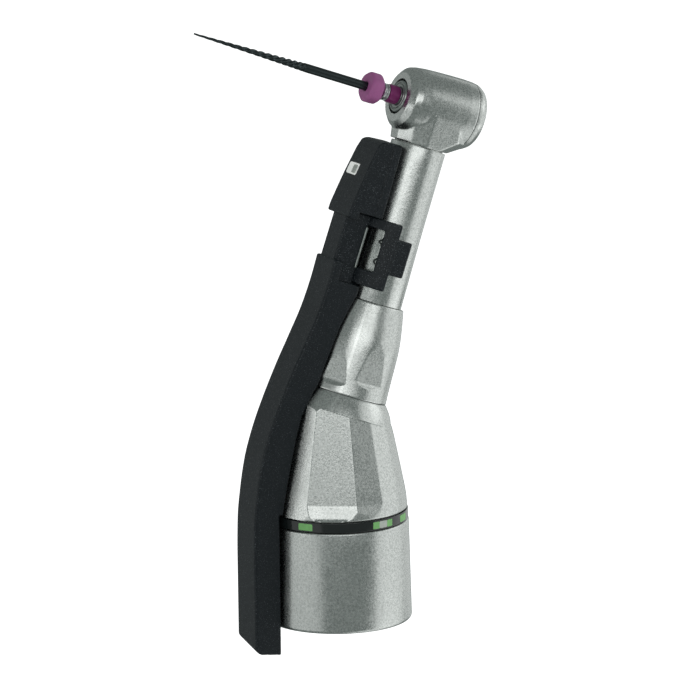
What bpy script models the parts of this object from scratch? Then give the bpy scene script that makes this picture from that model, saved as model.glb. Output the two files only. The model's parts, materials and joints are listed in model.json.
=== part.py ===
"""Geared contra-angle handpiece for root-canal files, with its clip-on electrode rail.

Frame: metres, +Z up along the handle, origin at the centre of the rear face that
the motor meets. The neck leans towards +X, the file points back towards -X, and the
XZ plane is the plane of symmetry. Lengths in the helpers below are in millimetres.
"""

import math

import bmesh
import bpy
from mathutils import Matrix, Vector

MM = 0.001
MERGE = 0.00001
GAP = 0.04  # between a seated piece and its seat
SEAM = 0.06  # between two casings, seen as a fine dark line

# Driving dimensions, in millimetres and degrees.
BEND = math.radians(19.4)  # the neck's lean from the handle
ELBOW_Z = 27.6  # where the two shaft axes cross
HEAD_A = 43.7  # the head's centre, measured up the neck from the elbow
SLEEVE_R, SLEEVE_TOP_R, SLEEVE_TOP = 10.0, 9.65, 13.75
BAND_LOW, BAND_HIGH, BAND_R = 13.82, 15.18, 9.56
CONE_FOOT, CONE_FOOT_R = 15.3, 9.58
SEAM_A, SEAM_A_R = 3.45, 5.92  # the cone's top rim, on the neck axis
SEAM_B, SEAM_B_R = 16.3, 4.5  # the grip's top rim
NECK_FOOT_R, NECK_TOP_R, NECK_TOP = 4.12, 3.76, 38.1
MOTOR_BORE_R, MOTOR_BORE_DEPTH = 8.1, 8.4
NOSE_BORE_R, NOSE_BORE_TOP = 4.2, 13.6
RAIL_W, ARM_W, CAP_W = 6.0, 4.4, 7.0
RAIL_GAP = 0.3
CLIP_R, CLIP_LOW, CLIP_HIGH = 5.25, 18.15, 27.35

# Gear train: sun 12, planets 12, ring 36, elbow 20:20, head 10:20, so 8:1 overall.
MODULE = 0.33
SUN_TEETH, PLANET_TEETH, RING_TEETH = 12, 12, 36
CROWN_TEETH, CROWN_R = 20, 4.15
PINION_TEETH, WHEEL_TEETH, WHEEL_R = 10, 20, 3.0
TORQUE_STEPS, TORQUE_TURN, SEAT_LIFT = 4, math.radians(120), 1.2
FILE_TIP = 36.7


# ---------------------------------------------------------------- scene helpers
def clear_scene():
    for obj in list(bpy.data.objects):
        bpy.data.objects.remove(obj)


def collection(name):
    made = bpy.data.collections.new(name)
    bpy.context.scene.collection.children.link(made)
    return made


def finish(name, colour, roughness, metallic):
    """A Principled material, made once for each name."""
    found = bpy.data.materials.get(name)
    if found:
        return found
    made = bpy.data.materials.new(name)
    made.use_nodes = True
    shader = made.node_tree.nodes["Principled BSDF"]
    shader.inputs["Base Color"].default_value = (*colour, 1)
    shader.inputs["Roughness"].default_value = roughness
    shader.inputs["Metallic"].default_value = metallic
    return made


def satin():
    return finish("satin_nickel", (0.60, 0.62, 0.60), 0.42, 1.0)


def steel():
    return finish("hardened_steel", (0.62, 0.63, 0.65), 0.22, 1.0)


def brass():
    return finish("bearing_bronze", (0.72, 0.55, 0.30), 0.35, 1.0)


def black_plastic():
    return finish("black_plastic", (0.018, 0.021, 0.024), 0.55, 0.0)


def black_anodised():
    return finish("black_anodised", (0.02, 0.024, 0.024), 0.28, 0.4)


def green_paint():
    return finish("green_enamel", (0.20, 0.55, 0.15), 0.45, 0.0)


def white_paint():
    return finish("white_enamel", (0.62, 0.66, 0.62), 0.45, 0.0)


def purple():
    return finish("purple_anodised", (0.23, 0.02, 0.13), 0.35, 0.2)


def pink_silicone():
    return finish("pink_silicone", (0.40, 0.10, 0.29), 0.55, 0.0)


def file_alloy():
    return finish("dark_alloy", (0.05, 0.06, 0.06), 0.32, 0.9)


def frame(name, parent, location, turn_y):
    """An empty that carries the pieces built about one axis."""
    made = bpy.data.objects.new(name, None)
    PARTS.objects.link(made)
    made.parent = parent
    made.location = Vector(location) * MM
    made.rotation_euler = (0, turn_y, 0)
    return made


def place(name, data, where, material=None, helper=False):
    obj = bpy.data.objects.new(name, data)
    (HELPERS if helper else PARTS).objects.link(obj)
    obj.parent = where
    if material:
        data.materials.append(material)
    if helper:
        obj.hide_render = True
        obj.display_type = "WIRE"
    return obj


def mesh_from(name, bm):
    bmesh.ops.recalc_face_normals(bm, faces=bm.faces)
    mesh = bpy.data.meshes.new(name)
    bm.to_mesh(mesh)
    bm.free()
    mesh.shade_smooth()
    mesh.set_sharp_from_angle(angle=math.radians(35))
    return mesh


# ---------------------------------------------------------------- shape helpers
def turned(name, profile, where, material=None, steps=32, helper=False):
    """A turned piece. The (r, z) profile runs down the outer side and back up the bore.
    One that starts and ends at r = 0 is solid, and any other is closed into a ring."""
    mesh = bpy.data.meshes.new(name)
    points = [(r * MM, 0, z * MM) for r, z in profile]
    edges = [(i, i + 1) for i in range(len(points) - 1)]
    if profile[0][0] > 0:
        edges.append((len(points) - 1, 0))
    mesh.from_pydata(points, edges, [])
    obj = place(name, mesh, where, material, helper)
    screw = obj.modifiers.new("turn", "SCREW")
    screw.axis = "Z"
    screw.steps = screw.render_steps = steps
    screw.use_merge_vertices = True
    screw.merge_threshold = MERGE
    screw.use_smooth_shade = False
    return obj


def ring(name, outer, inner, low, high, where, material=None, steps=32):
    return turned(name, [(outer, high), (outer, low), (inner, low), (inner, high)], where, material, steps)


def rod(name, radius, low, high, where, material=None, steps=24, helper=False):
    return turned(name, [(0, high), (radius, high), (radius, low), (0, low)], where, material, steps, helper)


def block(name, low, high, where, material=None, helper=False):
    """A box between two corners."""
    bm = bmesh.new()
    bmesh.ops.create_cube(bm, size=1)
    middle = (Vector(low) + Vector(high)) / 2
    size = Vector(high) - Vector(low)
    bmesh.ops.transform(bm, matrix=Matrix.LocRotScale(middle * MM, None, size * MM), verts=bm.verts)
    return place(name, mesh_from(name, bm), where, material, helper)


def modify(obj, other, operation="DIFFERENCE"):
    cut = obj.modifiers.new(operation.lower(), "BOOLEAN")
    cut.operation = operation
    cut.object = other
    return obj


def rounded(obj, width, segments=2, angle=40):
    bevel = obj.modifiers.new("edges", "BEVEL")
    bevel.width = width * MM
    bevel.segments = segments
    bevel.limit_method = "ANGLE"
    bevel.angle_limit = math.radians(angle)
    return obj


def loft(name, sections, where, material=None, helper=False):
    """A closed skin over cross-sections that all have the same number of points."""
    bm = bmesh.new()
    rows = [[bm.verts.new(Vector(p) * MM) for p in section] for section in sections]
    count = len(rows[0])
    for low, high in zip(rows, rows[1:]):
        for i in range(count):
            j = (i + 1) % count
            bm.faces.new((low[i], low[j], high[j], high[i]))
    bm.faces.new(rows[0])
    bm.faces.new(rows[-1])
    return place(name, mesh_from(name, bm), where, material, helper)


def swept_ring(name, sections, where, material=None):
    """A closed loop of cross-sections, such as a ring whose height changes round it."""
    bm = bmesh.new()
    rows = [[bm.verts.new(Vector(p) * MM) for p in section] for section in sections]
    count = len(rows[0])
    for here, there in zip(rows, rows[1:] + rows[:1]):
        for i in range(count):
            j = (i + 1) % count
            bm.faces.new((here[i], here[j], there[j], there[i]))
    return place(name, mesh_from(name, bm), where, material)


def outline(name, loops, low, high, where, material=None):
    """A flat plate from closed outlines, the later ones being holes in the first."""
    curve = bpy.data.curves.new(name, "CURVE")
    curve.dimensions = "2D"
    curve.fill_mode = "BOTH"
    curve.extrude = (high - low) / 2 * MM
    for loop in loops:
        spline = curve.splines.new("POLY")
        spline.points.add(len(loop) - 1)
        for point, (x, y) in zip(spline.points, loop):
            point.co = (x * MM, y * MM, 0, 1)
        spline.use_cyclic_u = True
    obj = place(name, curve, where, material)
    obj.location.z = (low + high) / 2 * MM
    return obj


def coil(name, radius, wire, low, high, turns, where, material, per_turn=12):
    """A spring: a round wire on a helix, as a poly curve with filled caps."""
    curve = bpy.data.curves.new(name, "CURVE")
    curve.dimensions = "3D"
    curve.bevel_depth = wire * MM
    curve.bevel_resolution = 1
    curve.use_fill_caps = True
    spline = curve.splines.new("POLY")
    count = int(turns * per_turn)
    spline.points.add(count)
    for i, point in enumerate(spline.points):
        angle = 2 * math.pi * turns * i / count
        height = low + (high - low) * i / count
        point.co = (radius * math.cos(angle) * MM, radius * math.sin(angle) * MM, height * MM, 1)
    return place(name, curve, where, material)


def circle(radius, count, phase=0.0):
    angles = [phase + 2 * math.pi * i / count for i in range(count)]
    return [(radius * math.cos(a), radius * math.sin(a)) for a in angles]


def tooth_outline(teeth, root, tip, root_share, tip_share, phase=0.0):
    """A gear's edge: each tooth has two points on its tip and two at its root.
    The shares are the tooth's width as a part of the pitch, at root and at tip."""
    pitch = 2 * math.pi / teeth
    points = []
    for i in range(teeth):
        middle = phase + i * pitch
        for share, radius in ((-root_share, root), (-tip_share, tip), (tip_share, tip), (root_share, root)):
            angle = middle + share * pitch / 2
            points.append((radius * math.cos(angle), radius * math.sin(angle)))
    return points


def bevel_wheel(name, teeth, pitch_r, cone, face, back, bore, where, material, phase=0.0):
    """A straight bevel gear whose pitch cone has its apex at the frame's origin and opens
    towards -Z. Each section is the tooth outline at one distance from the apex."""
    length = pitch_r / math.sin(cone)
    height = 2.0 * pitch_r / teeth
    sections = []
    for share in (1.0, 1.0 - face / length):
        outer = pitch_r * share
        rise = height * share
        depth = -outer / math.tan(cone)
        tip, root = outer + 0.85 * rise * math.cos(cone), outer - 1.1 * rise * math.cos(cone)
        tip_z, root_z = depth + 0.85 * rise * math.sin(cone), depth - 1.1 * rise * math.sin(cone)
        flat = tooth_outline(teeth, root, tip, 0.62, 0.22, phase)
        heights = [root_z, tip_z, tip_z, root_z] * teeth
        sections.append([(x, y, z) for (x, y), z in zip(flat, heights)])
    low = min(p[2] for p in sections[0]) - back
    base = [(x, y, low) for x, y, _ in sections[0]]
    centre_z = min(p[2] for p in sections[-1])
    hub_out = min(math.hypot(p[0], p[1]) for p in sections[-1]) * 0.98
    inner = [(hub_out * math.cos(a), hub_out * math.sin(a), centre_z) for a in
             [math.atan2(p[1], p[0]) for p in sections[-1]]]
    gear = loft(name, [base, *sections, inner], where, material)
    hole = rod(name + "_bore", bore, low - 1, 1, where, helper=True)
    return modify(gear, hole)


def bearing(name, where, middle, width, outer, inner, balls, steps=20):
    """A ball bearing as two nodes: the fixed outer race, and the inner race with its cage and balls."""
    half = width / 2
    pitch_r = (outer + inner) / 2
    ball_r = (outer - inner) * 0.27
    ring(name + "_outer_race", outer, pitch_r + ball_r + 0.06, middle - half, middle + half, where, steel(), steps)
    core = ring(name + "_balls", pitch_r, inner, middle - half * 0.9, middle + half * 0.9, where, steel(), steps)
    bm = bmesh.new()
    for i in range(balls):
        angle = 2 * math.pi * i / balls
        at = Vector((pitch_r * math.cos(angle), pitch_r * math.sin(angle), middle)) * MM
        bmesh.ops.create_uvsphere(bm, u_segments=6, v_segments=4, radius=ball_r * MM,
                                  matrix=Matrix.Translation(at))
    spheres = place(name + "_ball_set", mesh_from(name + "_ball_set", bm), where, helper=True)
    return modify(core, spheres, "UNION")


def neck_point(r, a):
    """World (x, z) of a point r out from the neck axis on the file's side, a up the neck."""
    return (a * math.sin(BEND) - r * math.cos(BEND), ELBOW_Z + a * math.cos(BEND) + r * math.sin(BEND))


# ---------------------------------------------------------------- rear coupling
def torque_selector():
    turned("selector_sleeve", [
        (9.12, 15.16), (9.12, SLEEVE_TOP), (SLEEVE_TOP_R - 0.15, SLEEVE_TOP), (SLEEVE_TOP_R, SLEEVE_TOP - 0.15),
        (SLEEVE_R, 0.35), (SLEEVE_R - 0.3, 0.0), (8.75, 0.0), (8.75, 8.7), (9.3, 8.7), (9.3, 12.4),
        (8.75, 12.4), (8.75, 15.16)], BASE, satin(), 40)
    band = ring("marking_band", BAND_R, 9.12 + GAP, BAND_LOW, BAND_HIGH, BASE, black_anodised(), 48)
    for index, (middle, width, colour) in enumerate(band_marks()):
        mark_name = f"torque_mark_{index + 1}"
        pocket = arc_block(mark_name + "_pocket", 9.36, BAND_R + 0.5, 14.02, 14.98, middle, width + 1.0, True)
        modify(band, pocket)
        mark = arc_block(mark_name, 9.40, BAND_R + 0.01, 14.06, 14.94, middle, width, False)
        mark.data.materials.append(colour())
    cam_sections = []
    for i in range(48):
        angle = 2 * math.pi * i / 48
        height = 9.75 + SEAT_LIFT * cam_share(angle)
        cam_sections.append([(r * math.cos(angle), r * math.sin(angle), z) for r, z in
                             ((9.24, 8.8), (8.8, 8.8), (8.8, height), (9.24, height))])
    swept_ring("selector_cam", cam_sections, BASE, steel())


def band_marks():
    """(middle angle from the file's side in degrees, width, colour) of each enamel inlay.
    Two kinds of code alternate round the band: a plain bar, and a bar with a light centre."""
    marks = []
    for middle in (38.5, 133.0, -127.0):
        marks.append((middle, 12.0, green_paint))
    for middle in (105.3,):
        marks += [(middle - 7.0, 5.4, green_paint), (middle, 7.4, white_paint), (middle + 7.0, 5.4, green_paint)]
    return marks


def arc_block(name, inner, outer, low, high, middle, width, helper):
    """A short arc-shaped bar about the handle, with its middle that many degrees from -X towards -Y."""
    start, end = math.radians(180 + middle - width / 2), math.radians(180 + middle + width / 2)
    steps = 4
    sections = []
    for i in range(steps + 1):
        angle = start + (end - start) * i / steps
        sections.append([(r * math.cos(angle), r * math.sin(angle), z) for r, z in
                         ((inner, low), (outer, low), (outer, high), (inner, high))])
    return loft(name, sections, BASE, helper=helper)


def cam_share(angle):
    """How far up its ramp the cam is at that angle, from 0 to 1. It has two starts, and each
    lug of the spring seat meets a rising ramp as the selector turns by TORQUE_TURN."""
    turned_by = (-angle) % math.pi
    return min(turned_by / TORQUE_TURN, 1.0) if turned_by < math.radians(150) else 0.0


def rear_coupling():
    sleeve = turned("coupling_sleeve", [
        (8.6, 17.0), (8.6, 0.25), (MOTOR_BORE_R, 0.25), (MOTOR_BORE_R, MOTOR_BORE_DEPTH),
        (NOSE_BORE_R, MOTOR_BORE_DEPTH), (NOSE_BORE_R, NOSE_BORE_TOP), (2.3, NOSE_BORE_TOP), (2.3, 14.1),
        (3.5, 14.1), (3.5, 16.4), (4.9, 16.4), (4.9, 9.4), (8.05, 9.4), (8.05, 17.0)], BASE, satin(), 36)
    for side in (0, 1):
        low, high = ((7.0, -0.8, 9.5), (9.5, 0.8, 12.2)) if side else ((-9.5, -0.8, 9.5), (-7.0, 0.8, 12.2))
        modify(sleeve, block(f"lug_slot_{side + 1}", low, high, BASE, helper=True))
    turned("rear_o_ring", [(NOSE_BORE_R - 0.03 + 0.35 * math.cos(t) - 0.35, 9.6 + 0.35 * math.sin(t)) for t in
                           [math.radians(a) for a in (60, 0, -60, -120, 180, 120)]], BASE, black_plastic(), 24)
    seat = ring("clutch_spring_seat", 7.95, 5.0, 9.95, 10.45, BASE, steel(), 36)
    for side in (-1, 1):
        ends = sorted((side * 7.6, side * 9.1))
        lug = block(f"seat_lug_{side + 1}", (ends[0], -0.6, 9.95), (ends[1], 0.6, 10.45), BASE, helper=True)
        modify(seat, lug, "UNION")
    coil("clutch_spring", 6.5, 0.5, 11.0, 15.2, 3.5, BASE, steel(), 12)
    ring("clutch_pressure_ring", 7.0, 5.2, 15.95, 17.1, BASE, steel(), 30)


def input_shaft():
    shaft = turned("input_shaft", [
        (0, 19.75), (0.72, 19.75), (0.72, 17.15), (1.2, 17.15), (1.2, 14.05), (1.9, 14.05), (1.9, 13.1),
        (3.2, 13.1), (3.2, 11.4), (0, 11.4)], BASE, steel(), 24)
    modify(shaft, block("drive_slot", (-4, -0.7, 10.5), (4, 0.7, 12.7), BASE, helper=True))
    bearing("input_bearing", BASE, 15.25, 1.7, 3.45, 1.2 + GAP, 6)
    pitch_r = MODULE * SUN_TEETH / 2
    outline("sun_gear", [tooth_outline(SUN_TEETH, pitch_r - 0.38, pitch_r + 0.27, 0.58, 0.24),
                         circle(0.72 + GAP, 12)], 17.25, 19.6, BASE, steel())


def planet_stage():
    ring_pitch = MODULE * RING_TEETH / 2
    inner = [(r * math.cos(a), r * math.sin(a)) for r, a in ring_teeth(ring_pitch)]
    outline("ring_gear", [circle(7.05, 36), inner], 17.25, 19.7, BASE, steel())
    reach = MODULE * (SUN_TEETH + PLANET_TEETH) / 2
    pitch_r = MODULE * PLANET_TEETH / 2
    carrier = turned("planet_carrier", [
        (0, 22.1), (1.6, 22.1), (1.6, 21.1), (5.1, 21.1), (5.1, 19.95), (0, 19.95)], BASE, steel(), 28)
    for index in range(3):
        angle = math.radians(90 + 120 * index)
        at = (reach * math.cos(angle), reach * math.sin(angle))
        pin = rod(f"planet_pin_{index + 1}", 0.5, 17.2, 20.4, BASE, steps=12, helper=True)
        pin.location = Vector((*at, 0)) * MM
        modify(carrier, pin, "UNION")
        planet = outline(f"planet_gear_{index + 1}", [
            tooth_outline(PLANET_TEETH, pitch_r - 0.38, pitch_r + 0.27, 0.58, 0.24, math.pi / PLANET_TEETH),
            circle(0.56, 12)], 17.35, 19.55, BASE, steel())
        planet.location.x, planet.location.y = (v * MM for v in at)


def ring_teeth(pitch_r):
    """Polar points of the ring gear's inward teeth, a tooth centred on angle 0."""
    pitch = 2 * math.pi / RING_TEETH
    for i in range(RING_TEETH):
        for share, radius in ((-0.60, pitch_r + 0.38), (-0.24, pitch_r - 0.25), (0.24, pitch_r - 0.25),
                              (0.60, pitch_r + 0.38)):
            yield radius, (i + share / 2) * pitch


def mid_shaft():
    turned("mid_shaft", [(0, 27.05), (1.0, 27.05), (1.0, 22.15), (0, 22.15)], BASE, steel(), 24)
    bearing("mid_bearing", BASE, 23.0, 1.6, 3.5, 1.0 + GAP, 6)
    cone = math.pi / 2 - BEND / 2
    apex = frame("elbow_lower", BASE, (0, 0, ELBOW_Z), 0)
    bevel_wheel("elbow_gear_lower", CROWN_TEETH, CROWN_R, cone, 1.2, 0.75, 1.0 + GAP, apex, steel())
    upper = frame("elbow_upper", NECK, (0, 0, 0), 0)
    upper.rotation_euler = (math.pi, 0, 0)
    bevel_wheel("elbow_gear_upper", CROWN_TEETH, CROWN_R, cone, 1.2, 0.75, 1.0 + GAP, upper, steel(),
                math.pi / CROWN_TEETH)


# ---------------------------------------------------------------- casings
def cone_sections(extra):
    """Cross-sections from the level foot to the tilted top rim, grown by extra millimetres."""
    rows = []
    for share, tilt, radius in ((0.0, 0.0, CONE_FOOT_R), (0.13, 0.0, 9.28), (0.36, 0.0, 8.62), (0.62, 0.12, 7.84),
                                (0.84, 0.55, 7.06), (1.0, 1.0, SEAM_A_R)):
        lean = BEND * tilt
        top = Vector((SEAM_A * math.sin(BEND), 0, ELBOW_Z + SEAM_A * math.cos(BEND)))
        height = CONE_FOOT + share * (top.z - CONE_FOOT)
        centre_x = max(0.0, height - ELBOW_Z) * math.tan(BEND)
        across, out = Vector((math.cos(lean), 0, -math.sin(lean))), Vector((0, 1, 0))
        row = []
        for i in range(36):
            angle = 2 * math.pi * i / 36
            point = Vector((centre_x, 0, height))
            point += (radius + extra) * (math.cos(angle) * across + math.sin(angle) * out)
            row.append(point)
        rows.append(row)
    return rows


FLATS = ((27.0, 13.0, 14.0), (62.0, 19.0, 20.0), (93.5, 11.5, 12.5), (111.0, 2.5, 9.0))
FLAT_SINK = 0.06
FLAT_END = 0.9  # the flats all stop at this level on the neck axis, under a plain turned collar


def cone_flat(index, side, middle, low_half, high_half):
    """A cutter whose inner face is one flat of the cone: it runs through the flat's two edges
    near the foot and near the collar, and it stops square to the neck."""
    angle = math.radians(180 + side * middle)
    outward = Vector((math.cos(angle), math.sin(angle), 0))
    along = Vector((-outward.y, outward.x, 0))
    low = outward * (9.18 * math.cos(math.radians(low_half)) - FLAT_SINK) + Vector((0, 0, 16.8))
    high = outward * (7.25 * math.cos(math.radians(high_half)) - FLAT_SINK) + Vector((0, 0, 27.6))
    slope = (high - low).normalized()
    normal = along.cross(slope).normalized()
    if normal.dot(outward) < 0:
        normal = -normal
    neck = Vector((math.sin(BEND), 0, math.cos(BEND)))
    stop = Vector((0, 0, ELBOW_Z)) + neck * FLAT_END
    wide, deep = 4.2, 4.0
    rows = []
    for base in (low - slope * 0.9, high):
        row = []
        for across, out in ((-wide, 0), (wide, 0), (wide, deep), (-wide, deep)):
            point = base + along * across + normal * out
            if base is high:
                point += slope * ((stop - point).dot(neck) / slope.dot(neck))
            row.append(point)
        rows.append(row)
    return loft(f"cone_flat_{index}_{'near' if side > 0 else 'far'}", rows, BASE, helper=True)


def cone_housing():
    shell = loft("elbow_housing", cone_sections(0.0), BASE, satin())
    for index, (middle, low_half, high_half) in enumerate(FLATS):
        for side in (1, -1):
            modify(shell, cone_flat(index, side, middle, low_half, high_half))
    handle_bore = turned("handle_bore", [
        (0, 30.2), (4.75, 30.2), (4.75, 24.7), (2.9, 24.7), (2.9, 24.05), (3.55, 24.05), (3.55, 21.9),
        (5.5, 21.9), (5.5, 20.1), (7.1, 20.1), (7.1, 17.05), (8.65, 17.05), (8.65, 14.0), (0, 14.0)],
        BASE, steps=32, helper=True)
    modify(shell, handle_bore)
    modify(shell, rod("elbow_bore", 4.75, 0.5, 6, NECK, steps=32, helper=True))


GRIP_PROFILE = ((SEAM_A + SEAM, 5.9), (5.0, 5.8), (7.0, 5.72), (9.0, 5.63), (10.5, 5.53), (12.2, 5.33),
                (14.0, 5.02), (15.4, 4.7), (SEAM_B, SEAM_B_R))
SCALLOPS = (36.0, 97.0)
SCALLOP_DEPTH_R, SCALLOP_FOOT, SCALLOP_TOP = 5.4, 4.6, 12.6


def grip_sleeve():
    outer = [(r, a) for a, r in reversed(GRIP_PROFILE)]
    sleeve = turned("grip_sleeve", outer + [
        (4.7, SEAM_A + SEAM), (4.7, 2.3), (3.0, 2.3), (3.0, 4.9), (3.4, 4.9), (3.4, SEAM_B)], NECK, satin(), 40)
    for middle in SCALLOPS:
        for side in (1, -1):
            name = f"scallop_{int(middle)}_{'near' if side > 0 else 'far'}"
            cutter = block(name, (SCALLOP_DEPTH_R, -2.35, SCALLOP_FOOT), (9, 2.35, SCALLOP_TOP), NECK, helper=True)
            rounded(cutter, 0.8, 1)
            cutter.rotation_euler = (0, 0, math.radians(180 + side * middle))
            modify(sleeve, cutter)


def neck_tube():
    turned("neck_tube", [
        (NECK_TOP_R, NECK_TOP), (3.86, 30.0), (NECK_FOOT_R, SEAM_B + SEAM), (3.35, SEAM_B + SEAM), (3.35, 11.5),
        (2.5, 11.5), (2.5, 34.3), (2.85, 34.3), (2.85, NECK_TOP)], NECK, satin(), 36)
    shaft = turned("neck_shaft", [
        (0, 41.2), (0.62, 41.2), (0.62, 38.0), (1.0, 38.0), (1.0, 0.95), (0, 0.95)], NECK, steel(), 20)
    ring("neck_bush", 2.95, 1.0 + GAP + 0.03, 2.5, 4.7, NECK, brass(), 24)
    bearing("neck_bearing", NECK, 35.4, 1.5, 2.8, 1.0 + GAP, 6)
    return shaft


# ---------------------------------------------------------------- head
HEAD_PROFILE = ((-5.6, 4.6), (-3.6, 4.72), (0.9, 4.62), (3.1, 4.45), (3.75, 4.32), (4.5, 4.05), (5.15, 3.5))


def head_housing():
    body = turned("head_housing", [(0, 5.15), *((r, c) for c, r in reversed(HEAD_PROFILE)), (0, -5.6)],
                  HEAD, satin(), 40)
    sections = []
    sides = 12
    for a, front, back, half_width in ((38.2, 3.95, 4.0, 3.85), (38.45, 4.2, 4.25, 4.05), (40.6, 4.5, 5.0, 4.5),
                                       (42.0, 4.2, 5.0, 4.2)):
        row = []
        for i in range(sides):
            angle = 2 * math.pi * (i + 0.5) / sides
            reach = front if math.cos(angle) > 0 else back
            row.append((a - HEAD_A, half_width * math.sin(angle), reach * math.cos(angle)))
        sections.append(row)
    modify(body, loft("head_collar", sections, HEAD, helper=True), "UNION")
    modify(body, turned("head_cavity", [
        (0, 5.6), (2.42, 5.6), (2.42, 3.65), (3.95, 3.65), (3.95, -7), (0, -7)], HEAD, steps=36, helper=True))
    modify(body, rod("collar_bore", 2.45, 36, HEAD_A - 2.5, NECK, steps=28, helper=True))


def chuck():
    turned("chuck_spindle", [
        (1.95, 5.25), (2.2, 5.1), (2.2, 4.45), (1.7, 4.45), (1.7, -4.5), (1.24, -4.5), (1.24, 5.25)],
        HEAD, steel(), 28)
    for name, middle in (("chuck_front_bearing", 2.87), ("chuck_rear_bearing", -3.75)):
        bearing(name, HEAD, middle, 1.4, 3.9, 1.7 + GAP, 7)
    wheel = frame("wheel_frame", HEAD, (0, 0, 0), 0)
    wheel_cone = math.atan2(WHEEL_TEETH, PINION_TEETH)
    bevel_wheel("chuck_gear", WHEEL_TEETH, WHEEL_R, wheel_cone, 1.05, 0.45, 1.7 + GAP, wheel, steel(),
                math.pi + math.pi / WHEEL_TEETH)
    pinion = frame("pinion_frame", NECK, (0, 0, HEAD_A), 0)
    pinion_r = WHEEL_R * PINION_TEETH / WHEEL_TEETH
    bevel_wheel("neck_pinion", PINION_TEETH, pinion_r, math.pi / 2 - wheel_cone, 1.05, 0.6, 0.62 + GAP,
                pinion, steel())
    latch = ring("chuck_latch", 2.1, 1.25, -4.95, -4.6, HEAD, steel(), 24)
    modify(latch, block("latch_slot", (-0.5, 1.0, -5.5), (0.5, 3, -4), HEAD, helper=True))


def push_button():
    turned("button_bezel", [
        (3.87, -4.95), (3.87, -5.66), (4.56, -5.66), (4.42, -6.1), (4.0, -6.45), (3.5, -6.6), (3.05, -6.6),
        (3.05, -6.3), (3.4, -6.3), (3.4, -4.95)], HEAD, satin(), 36)
    turned("push_button", [
        (0, -6.0), (3.3, -6.0), (3.3, -6.22), (2.95, -6.3), (2.95, -6.6), (2.5, -6.8), (1.4, -6.92), (0, -6.95)],
        HEAD, satin(), 36)
    ring("button_spring_washer", 3.88, 2.25, -4.85, -4.62, HEAD, steel(), 28)
    coil("button_spring", 2.75, 0.12, -5.43, -5.0, 1.5, HEAD, steel(), 12)


# ---------------------------------------------------------------- file
def root_canal_file():
    shank = turned("file_shank", [
        (0, 8.0), (0.75, 8.0), (1.12, 7.75), (1.12, 7.5), (0.95, 7.42), (0.95, 7.3), (1.12, 7.22), (1.12, 6.95),
        (0.95, 6.95), (0.95, 5.35), (1.175, 5.3), (1.175, -3.5), (0.9, -3.6), (0.9, -4.0), (1.175, -4.1),
        (1.175, -4.9), (1.0, -5.05), (0, -5.05)], HEAD, steel(), 18)
    modify(shank, block("shank_flat", (0.75, -2, -6), (2, 2, -2.4), HEAD, helper=True))
    modify(shank, rod("blade_socket", 0.6, 6.0, 9, HEAD, steps=16, helper=True))
    ring("file_band", 1.28, 0.95 + GAP, 5.4, 6.9, HEAD, purple(), 24)
    blade()
    stopper = turned("file_stopper", [
        (1.75, 9.95), (2.08, 9.6), (2.08, 8.65), (1.75, 8.3), (0.61, 8.3), (0.61, 9.95)], HEAD, pink_silicone(), 24)
    notch = rod("stopper_notch", 0.35, 8, 11, HEAD, steps=10, helper=True)
    notch.location = Vector((-2.25, 0, 0)) * MM
    modify(stopper, notch)


def blade():
    """The working part: a round shaft that becomes a twisted, tapering three-lobed section."""
    points = 9
    smooth_end = 19.5
    levels = [6.2, 12.0, 18.5, smooth_end]
    fluted = 34
    levels += [smooth_end + (FILE_TIP - 0.5 - smooth_end) * (i + 1) / fluted for i in range(fluted)]
    sections = []
    for level in levels:
        share = max(0.0, (level - smooth_end) / (FILE_TIP - smooth_end))
        radius = 0.55 * (1 - share) + 0.14 * share
        depth = 0.26 * min(1.0, share * 8)
        twist = -2 * math.pi * 4.2 * share ** 0.85 if share else 0.0
        row = []
        for i in range(points):
            angle = 2 * math.pi * i / points
            r = radius * (1 - depth * (0.5 + 0.5 * math.cos(3 * angle)))
            row.append((r * math.cos(angle + twist), r * math.sin(angle + twist), level))
        sections.append(row)
    sections.append([(0.03 * math.cos(2 * math.pi * i / points), 0.03 * math.sin(2 * math.pi * i / points),
                      FILE_TIP) for i in range(points)])
    return loft("file_blade", sections, HEAD, file_alloy())


# ---------------------------------------------------------------- electrode rail
def rail_outer():
    """(x, z) points down the rail's outer face, from the arm to the foot."""
    upper = [neck_point(r, a) for r, a in ((8.5, 20.6), (8.4, 17.0), (8.55, 13.0), (9.05, 9.0), (9.65, 4.5))]
    lower = [(-9.95, 29.9), (-11.3, 26.4), (-12.35, 22.8), (-13.05, 18.8), (-13.5, 14.6), (-13.6, 10.0),
             (-13.6, 4.0), (-13.6, -4.2)]
    return upper + lower


def rail_path_sections(half_width, outer, inner_offset):
    """Box sections across the rail at each point of its outer face, running inwards."""
    rows = []
    for index, (x, z) in enumerate(outer):
        ahead = outer[min(index + 1, len(outer) - 1)]
        behind = outer[max(index - 1, 0)]
        along = Vector((ahead[0] - behind[0], ahead[1] - behind[1])).normalized()
        inward = Vector((-along.y, along.x))
        if inward.x < 0:
            inward = -inward
        depth = inner_offset
        rows.append([(x, -half_width, z), (x, half_width, z),
                     (x + inward.x * depth, half_width, z + inward.y * depth),
                     (x + inward.x * depth, -half_width, z + inward.y * depth)])
    return rows


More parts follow.
